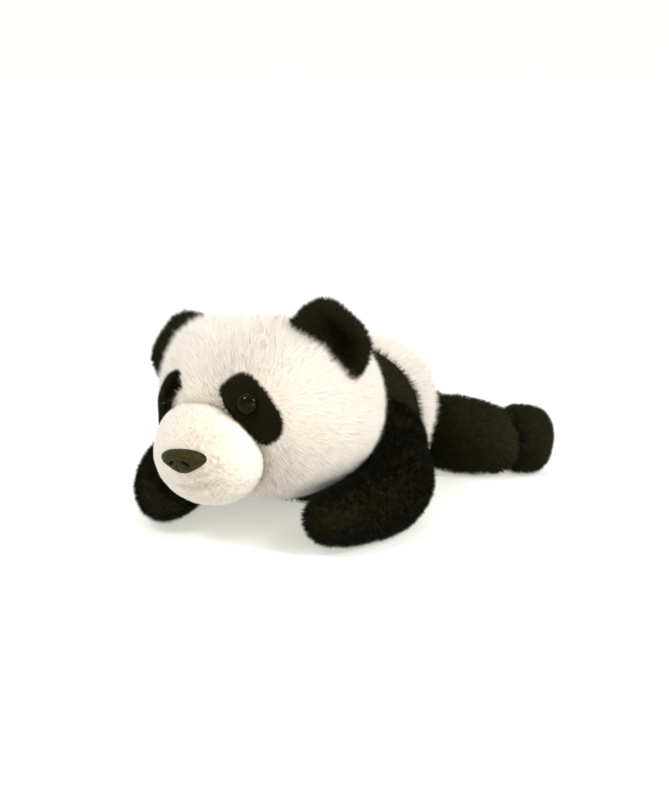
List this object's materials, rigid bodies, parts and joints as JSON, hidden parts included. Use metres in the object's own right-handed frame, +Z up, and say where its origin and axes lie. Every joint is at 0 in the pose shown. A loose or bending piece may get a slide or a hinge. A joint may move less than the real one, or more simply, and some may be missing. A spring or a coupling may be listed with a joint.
{
  "type": "plush panda",
  "caption": "Lying plush panda with long cream and black pile, safety eyes and nose, pellet-weighted paws, and a head, limbs, ears and tail that move.",
  "frame": {"origin": "on the flat of the belly, where it rests on the table, under the middle of the back", "axes": "+Z up; the panda lies along Y and faces -Y; its left side is +X"},
  "size_m": [0.2836, 0.3272, 0.1676],
  "materials": {
    "cream_plush": "long cream pile, matt",
    "muzzle_plush": "short cream pile, matt",
    "black_plush": "short warm black pile, matt",
    "patch_felt": "black pile, matt",
    "stuffing": "white polyester fibre",
    "pellet_cloth": "woven bag of plastic pellets",
    "eye_plastic": "polished black",
    "nose_plastic": "satin brown black",
    "washer_plastic": "natural plastic"
  },
  "bodies": {
    "torso": {"shoulder_cover": "black_plush", "body_cover": "cream_plush", "body_stuffing": "stuffing", "belly_pellet_bag": "pellet_cloth"},
    "neck": {"neck_stuffing": "stuffing"},
    "head": {"nose": "nose_plastic", "nose_washer": "washer_plastic", "muzzle_cover": "muzzle_plush", "muzzle_stuffing": "stuffing", "head_cover": "cream_plush", "head_stuffing": "stuffing", "left_eye": "eye_plastic", "right_eye": "eye_plastic", "left_eye_washer": "washer_plastic", "right_eye_washer": "washer_plastic", "left_eye_patch": "patch_felt", "right_eye_patch": "patch_felt"},
    "left_arm": {"left_arm_cover": "black_plush", "left_arm_stuffing": "stuffing", "left_paw_pellet_bag": "pellet_cloth"},
    "left_leg": {"left_haunch_cover": "black_plush", "left_haunch_stuffing": "stuffing", "left_foot_cover": "black_plush", "left_foot_pellet_bag": "pellet_cloth"},
    "left_ear": {"left_ear": "black_plush"},
    "right_arm": {"right_arm_cover": "black_plush", "right_arm_stuffing": "stuffing", "right_paw_pellet_bag": "pellet_cloth"},
    "right_leg": {"right_haunch_cover": "black_plush", "right_haunch_stuffing": "stuffing", "right_foot_cover": "black_plush", "right_foot_pellet_bag": "pellet_cloth"},
    "right_ear": {"right_ear": "black_plush"},
    "tail": {"tail": "cream_plush"}
  },
  "joints": [
    {"name": "head_turn", "type": "hinge", "parent": "torso", "child": "neck", "pos_m": [0, -0.088, 0.068], "axis": [0, 0, 1], "range_deg": [-4, 16], "stiffness_Nm_per_rad": 1},
    {"name": "head_nod", "type": "hinge", "parent": "neck", "child": "head", "pos_m": [0, -0.088, 0.068], "axis": [0.9511, -0.309, 0], "range_deg": [-8, 3], "stiffness_Nm_per_rad": 2},
    {"name": "left_arm_spread", "type": "hinge", "parent": "torso", "child": "left_arm", "pos_m": [0.056, -0.058, 0.044], "axis": [0, 0, 1], "range_deg": [0, 30]},
    {"name": "right_arm_spread", "type": "hinge", "parent": "torso", "child": "right_arm", "pos_m": [-0.056, -0.058, 0.044], "axis": [0, 0, -1], "range_deg": [0, 30]},
    {"name": "left_leg_spread", "type": "hinge", "parent": "torso", "child": "left_leg", "pos_m": [0.045, 0.036, 0.035], "axis": [0, 0, 1], "range_deg": [-8, 30]},
    {"name": "right_leg_spread", "type": "hinge", "parent": "torso", "child": "right_leg", "pos_m": [-0.045, 0.036, 0.035], "axis": [0, 0, -1], "range_deg": [-8, 30]},
    {"name": "left_ear_fold", "type": "hinge", "parent": "head", "child": "left_ear", "pos_m": [0.04957, -0.15116, 0.13579], "axis": [0.7926, -0.0777, -0.6047], "range_deg": [-20, 20], "stiffness_Nm_per_rad": 0.05},
    {"name": "right_ear_fold", "type": "hinge", "parent": "head", "child": "right_ear", "pos_m": [-0.06778, -0.11303, 0.10835], "axis": [0.535, 0.0684, 0.8421], "range_deg": [-20, 20], "stiffness_Nm_per_rad": 0.05},
    {"name": "tail_wag", "type": "hinge", "parent": "torso", "child": "tail", "pos_m": [0, 0.075, 0.046], "axis": [0, 0, 1], "range_deg": [-20, 20], "stiffness_Nm_per_rad": 0.03}
  ]
}
